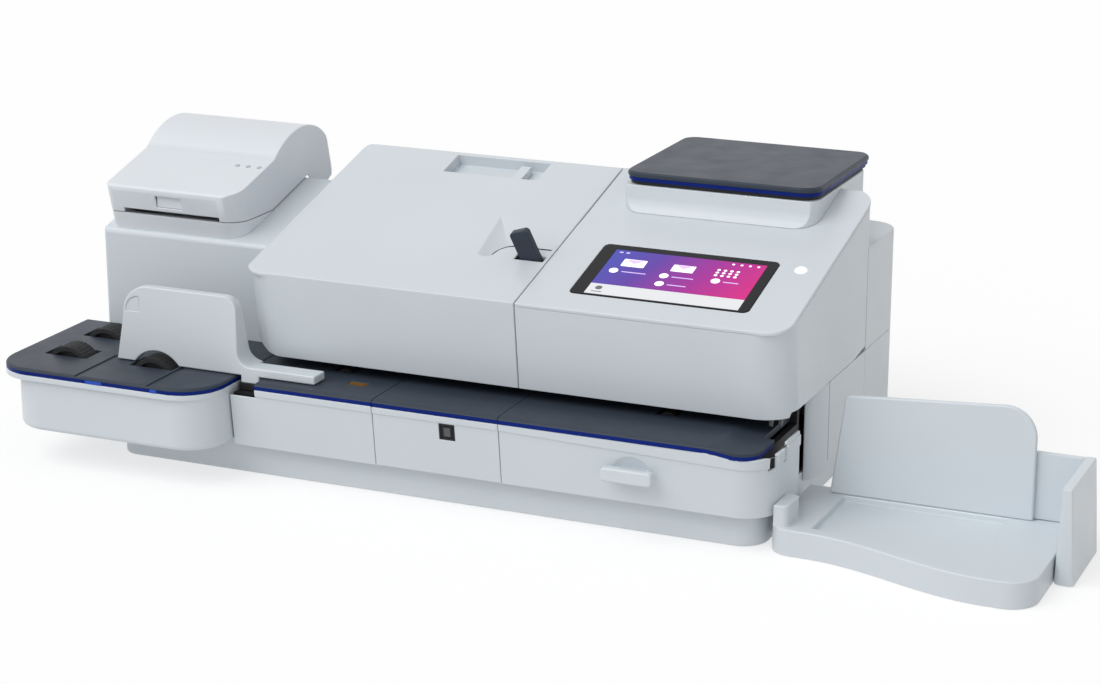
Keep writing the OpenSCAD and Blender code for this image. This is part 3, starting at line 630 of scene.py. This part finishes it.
PANEL_LEAN = math.radians(6.8)
WINDOW_PLACE = Vector((-50.5, -205.3, 80.5)) * MM
WINDOW_SIDE = 16.8


def set_in_drawer(piece):
    """Leans a piece, modelled at the origin, back with the drawer's front and sets it in the
    window's opening."""
    piece.rotation_euler = (PANEL_LEAN, 0, 0)
    piece.location = WINDOW_PLACE


def level_glass():
    """Window of the tank drawer: a dark frame round a sunk, stepped pane."""
    piece = block(WINDOW_SIDE, 2.0, WINDOW_SIDE)
    edit(piece)
    pick_faces(piece, lambda c, n: n.y < -0.9)
    bpy.ops.mesh.inset(thickness=1.7 * MM)
    bpy.ops.mesh.extrude_region_move(TRANSFORM_OT_translate={"value": (0, 1.2 * MM, 0)})
    bpy.ops.mesh.inset(thickness=1.6 * MM)
    bpy.ops.mesh.extrude_region_move(TRANSFORM_OT_translate={"value": (0, -0.7 * MM, 0)})
    bpy.ops.object.mode_set(mode="OBJECT")
    round_off(piece, 0.25, 2)
    set_in_drawer(piece)
    fit(piece, "level_glass", "tank_drawer", "dark_window", replaced=("level_window",))


def level_tube():
    """Sight tube behind the window: a flat pale strip on the pane, sunk along its middle."""
    piece = block(7.0, 0.4, 9.2, (0, -0.7, 0))
    edit(piece)
    pick_faces(piece, lambda c, n: n.y < -0.9)
    bpy.ops.mesh.inset(thickness=1.1 * MM)
    bpy.ops.mesh.extrude_region_move(TRANSFORM_OT_translate={"value": (0, 0.25 * MM, 0)})
    bpy.ops.object.mode_set(mode="OBJECT")
    round_off(piece, 0.1, 2)
    set_in_drawer(piece)
    fit(piece, "level_tube", "tank_drawer", "tank_plastic", "tube_grey")


level_glass()
level_tube()


SPOT_SPANS = ((-428, -409), (-352.5, -345))


def trim_spots():
    """Two lighter lengths in the feeder's trim."""
    spots = []
    for x0, x1 in SPOT_SPANS:
        spot = block(x1 - x0, 1.0, 3.5, ((x0 + x1) / 2, -258.45, 99.1))
        edit(spot)
        pick_faces(spot, lambda c, n: n.y < -0.9)
        bpy.ops.mesh.inset(thickness=0.3 * MM)
        bpy.ops.transform.translate(value=(0, -0.03 * MM, 0))
        bpy.ops.object.mode_set(mode="OBJECT")
        spots.append(spot)
    fit(joined(spots), "trim_spots", "machine", "blue_trim", "trim_spot")


trim_spots()


# Path of the dark bead that paints the shade line along the hollow's front lip
SHADE_LINE_RUN = ((-60.4, 85.5), (-59.1, 92), (-56.8, 97), (-52.4, 102.7), (-46, 105.9), (-30, 105.9),
            (-5.2, 105.9))       # across, and up the slope
SHADE_LINE_RADIUS = 0.95
SHADE_LINE_SUNK = 0.7


def hollow_shade_bead():
    """Dark bead along the front lip of the hollow beside the release lever: painted shade, the dark line
    where the hollow runs deep under the lip.
    """
    bpy.ops.object.select_all(action="DESELECT")
    bpy.ops.curve.primitive_nurbs_path_add()
    bead = bpy.context.active_object
    bead.data.splines.clear()
    spline = bead.data.splines.new("POLY")
    spline.points.add(len(SHADE_LINE_RUN) - 1)
    for point, (x, s) in zip(spline.points, SHADE_LINE_RUN):
        point.co = (*cover_point(x, s, -SHADE_LINE_SUNK), 1)
    bead.data.bevel_depth = SHADE_LINE_RADIUS * MM
    bead.data.bevel_resolution = 3
    bead.data.use_fill_caps = True
    bpy.ops.object.convert(target="MESH")
    piece = bpy.context.active_object
    smooth(piece, 50)
    fit(piece, "hollow_shade_bead", "lid", "slate_plastic")


hollow_shade_bead()


# Plain menu on the lit screen: round keys, bars for words, cards for pictures

PANE = 0.3         # height of the pane over the covers' slope
LEAF = 0.07        # thickness of each menu piece


def laid(piece, x, s, lift=0.0):
    """Lays a flat piece, modelled at the origin, on the screen's pane."""
    piece.rotation_euler = (SLOPE, 0, 0)
    piece.location = cover_point(x, s, PANE + LEAF / 2 + lift)
    only(piece)
    bpy.ops.object.transform_apply(location=True, rotation=True, scale=True)
    return piece


def round_key(x, s, radius):
    piece = disc(radius, LEAF, 36)
    edit(piece)
    pick_faces(piece, lambda c, n: n.z > 0.9)
    bpy.ops.mesh.inset(thickness=0.2 * radius * MM)
    bpy.ops.transform.translate(value=(0, 0, -0.02 * MM))
    bpy.ops.object.mode_set(mode="OBJECT")
    return laid(piece, x, s)


def flat_bar(x0, x1, s, high, corner, lift=0.0):
    piece = block(x1 - x0, high, LEAF)
    edit(piece, "EDGE")
    pick_edges(piece, lambda a, b: abs(a.x - b.x) < 0.001 and abs(a.y - b.y) < 0.001)
    bpy.ops.mesh.bevel(offset=corner * MM, segments=4, affect="EDGES")
    bpy.ops.object.mode_set(mode="OBJECT")
    return laid(piece, (x0 + x1) / 2, s, lift)


def flap(x, s, wide, high):
    """Folded flap of a card: a thin three-cornered leaf on top of it."""
    piece = disc(wide / 2, LEAF, 3)
    edit(piece)
    pick_faces(piece, lambda c, n: n.z > 0.9)
    bpy.ops.mesh.inset(thickness=0.1 * wide * MM)
    bpy.ops.object.mode_set(mode="OBJECT")
    piece.rotation_euler = (0, 0, math.pi)
    piece.scale = (1.15, high / wide * 1.3, 1)
    bpy.ops.object.transform_apply(location=True, rotation=True, scale=True)
    return laid(piece, x, s, LEAF)


def screen_menu():
    keys = [round_key(x, s, 4.6) for x, s in ((72, 80.5), (124.5, 80.7), (125.5, 65.3), (177.2, 81.8))]
    keys += [round_key(183.7 + 8.6 * i, 116.3, 1.4) for i in range(4)]
    keys += [round_key(173.5 + 6.6 * i, 92.6 + 5.2 * j, 1.7) for i in range(4) for j in range(3)]
    fit(joined(keys), "menu_keys", "machine", "screen_glass", "menu_white")
    words = [flat_bar(x0, x1, s, 1.5, 0.6) for x0, x1, s in
             ((80.4, 106, 79.8), (132.6, 155, 80.1), (133.5, 153, 64.8), (185, 201, 81.2))]
    words += [flat_bar(64.5 + 7 * i, 68.5 + 7 * i, 116.1, 2.4, 0.8) for i in range(2)]
    fit(joined(words), "menu_bars", "machine", "screen_glass", "menu_lilac")
    cards = [flat_bar(75, 99, 97.5, 14, 1.2), flat_bar(127, 150, 97.5, 13, 1.2)]
    fit(joined(cards), "menu_cards", "machine", "screen_glass", "menu_white")
    flaps = [flap(87, 101, 20, 8), flap(138.5, 101, 19, 7.5)]
    fit(joined(flaps), "menu_flaps", "machine", "screen_glass", "menu_lilac")
    fit(joined([round_key(70.5, 45.6, 3.6), flat_bar(65, 76, 38.2, 1.2, 0.5)]), "menu_home", "machine",
        "screen_glass", "menu_grey")


screen_menu()


# Stage, camera and light

def whitened(tree, near_shade):
    """1 where the eye, a mirror or glass looks, and near_shade for light that falls on the machine."""
    path = tree.nodes.new("ShaderNodeLightPath")
    both = tree.nodes.new("ShaderNodeMath")
    both.operation = "MAXIMUM"
    tree.links.new(path.outputs["Is Camera Ray"], both.inputs[0])
    tree.links.new(path.outputs["Is Glossy Ray"], both.inputs[1])
    all_three = tree.nodes.new("ShaderNodeMath")
    all_three.operation = "MAXIMUM"
    tree.links.new(both.outputs["Value"], all_three.inputs[0])
    tree.links.new(path.outputs["Is Transmission Ray"], all_three.inputs[1])
    span = tree.nodes.new("ShaderNodeMapRange")
    span.inputs["To Min"].default_value = near_shade
    span.inputs["To Max"].default_value = 1.0
    tree.links.new(all_three.outputs["Value"], span.inputs["Value"])
    return span.outputs["Result"]


FLOOR_SIDE = 60
FLOOR_DROP = 0.0004        # keeps the floor clear of the feet
FLOOR_GLOW = 0.62          # lifts the floor to white, with its shadow kept

bpy.ops.object.select_all(action="DESELECT")
bpy.ops.mesh.primitive_plane_add(size=FLOOR_SIDE, location=(0, 0, -FLOOR_DROP))
floor = bpy.context.active_object
floor.name = "floor"
paper_sweep = bpy.data.materials.new("paper_sweep")
paper_sweep.use_nodes = True
tree = paper_sweep.node_tree
matte = tree.nodes["Principled BSDF"]
matte.inputs["Base Color"].default_value = (0.42, 0.42, 0.42, 1)
matte.inputs["Roughness"].default_value = 0.9
matte.inputs["Specular IOR Level"].default_value = 0.0
matte.inputs["Emission Color"].default_value = (1, 1, 1, 1)
share = tree.nodes.new("ShaderNodeMath")
share.operation = "MULTIPLY"
share.inputs[1].default_value = FLOOR_GLOW
tree.links.new(whitened(tree, 0.45), share.inputs[0])
tree.links.new(share.outputs["Value"], matte.inputs["Emission Strength"])
floor.data.materials.append(paper_sweep)

world = bpy.data.worlds.new("studio")
bpy.context.scene.world = world
world.use_nodes = True
sky = world.node_tree.nodes["Background"]
sky.inputs["Color"].default_value = (1, 1, 1, 1)
world.node_tree.links.new(whitened(world.node_tree, 0.5), sky.inputs["Strength"])


def soft_sun(name, towards, strength, spread_degrees, colour=(1, 1, 1)):
    lamp = bpy.data.lights.new(name, "SUN")
    lamp.energy = strength
    lamp.angle = math.radians(spread_degrees)
    lamp.color = colour
    holder = bpy.data.objects.new(name, lamp)
    bpy.context.scene.collection.objects.link(holder)
    holder.rotation_euler = Vector(towards).to_track_quat("-Z", "Y").to_euler()


soft_sun("key_light", (0.5, 0.6, -1.0), 1.35, 50)
soft_sun("front_fill", (-0.15, 1.0, -0.25), 0.5, 70)

SENSOR = 36
FOCAL_SHARE = 2671 / 1100        # focal length over picture width, both in the photograph's pixels

lens = bpy.data.cameras.new("camera")
lens.sensor_width = SENSOR
lens.lens = SENSOR * FOCAL_SHARE
lens.clip_end = 100
camera = bpy.data.objects.new("camera", lens)
bpy.context.scene.collection.objects.link(camera)
camera.location = (1.0245, -2.4142, 0.9056)
camera.rotation_euler = (math.radians(73.35), 0, math.radians(23.63))
bpy.context.scene.camera = camera
bpy.context.scene.view_settings.view_transform = "Standard"
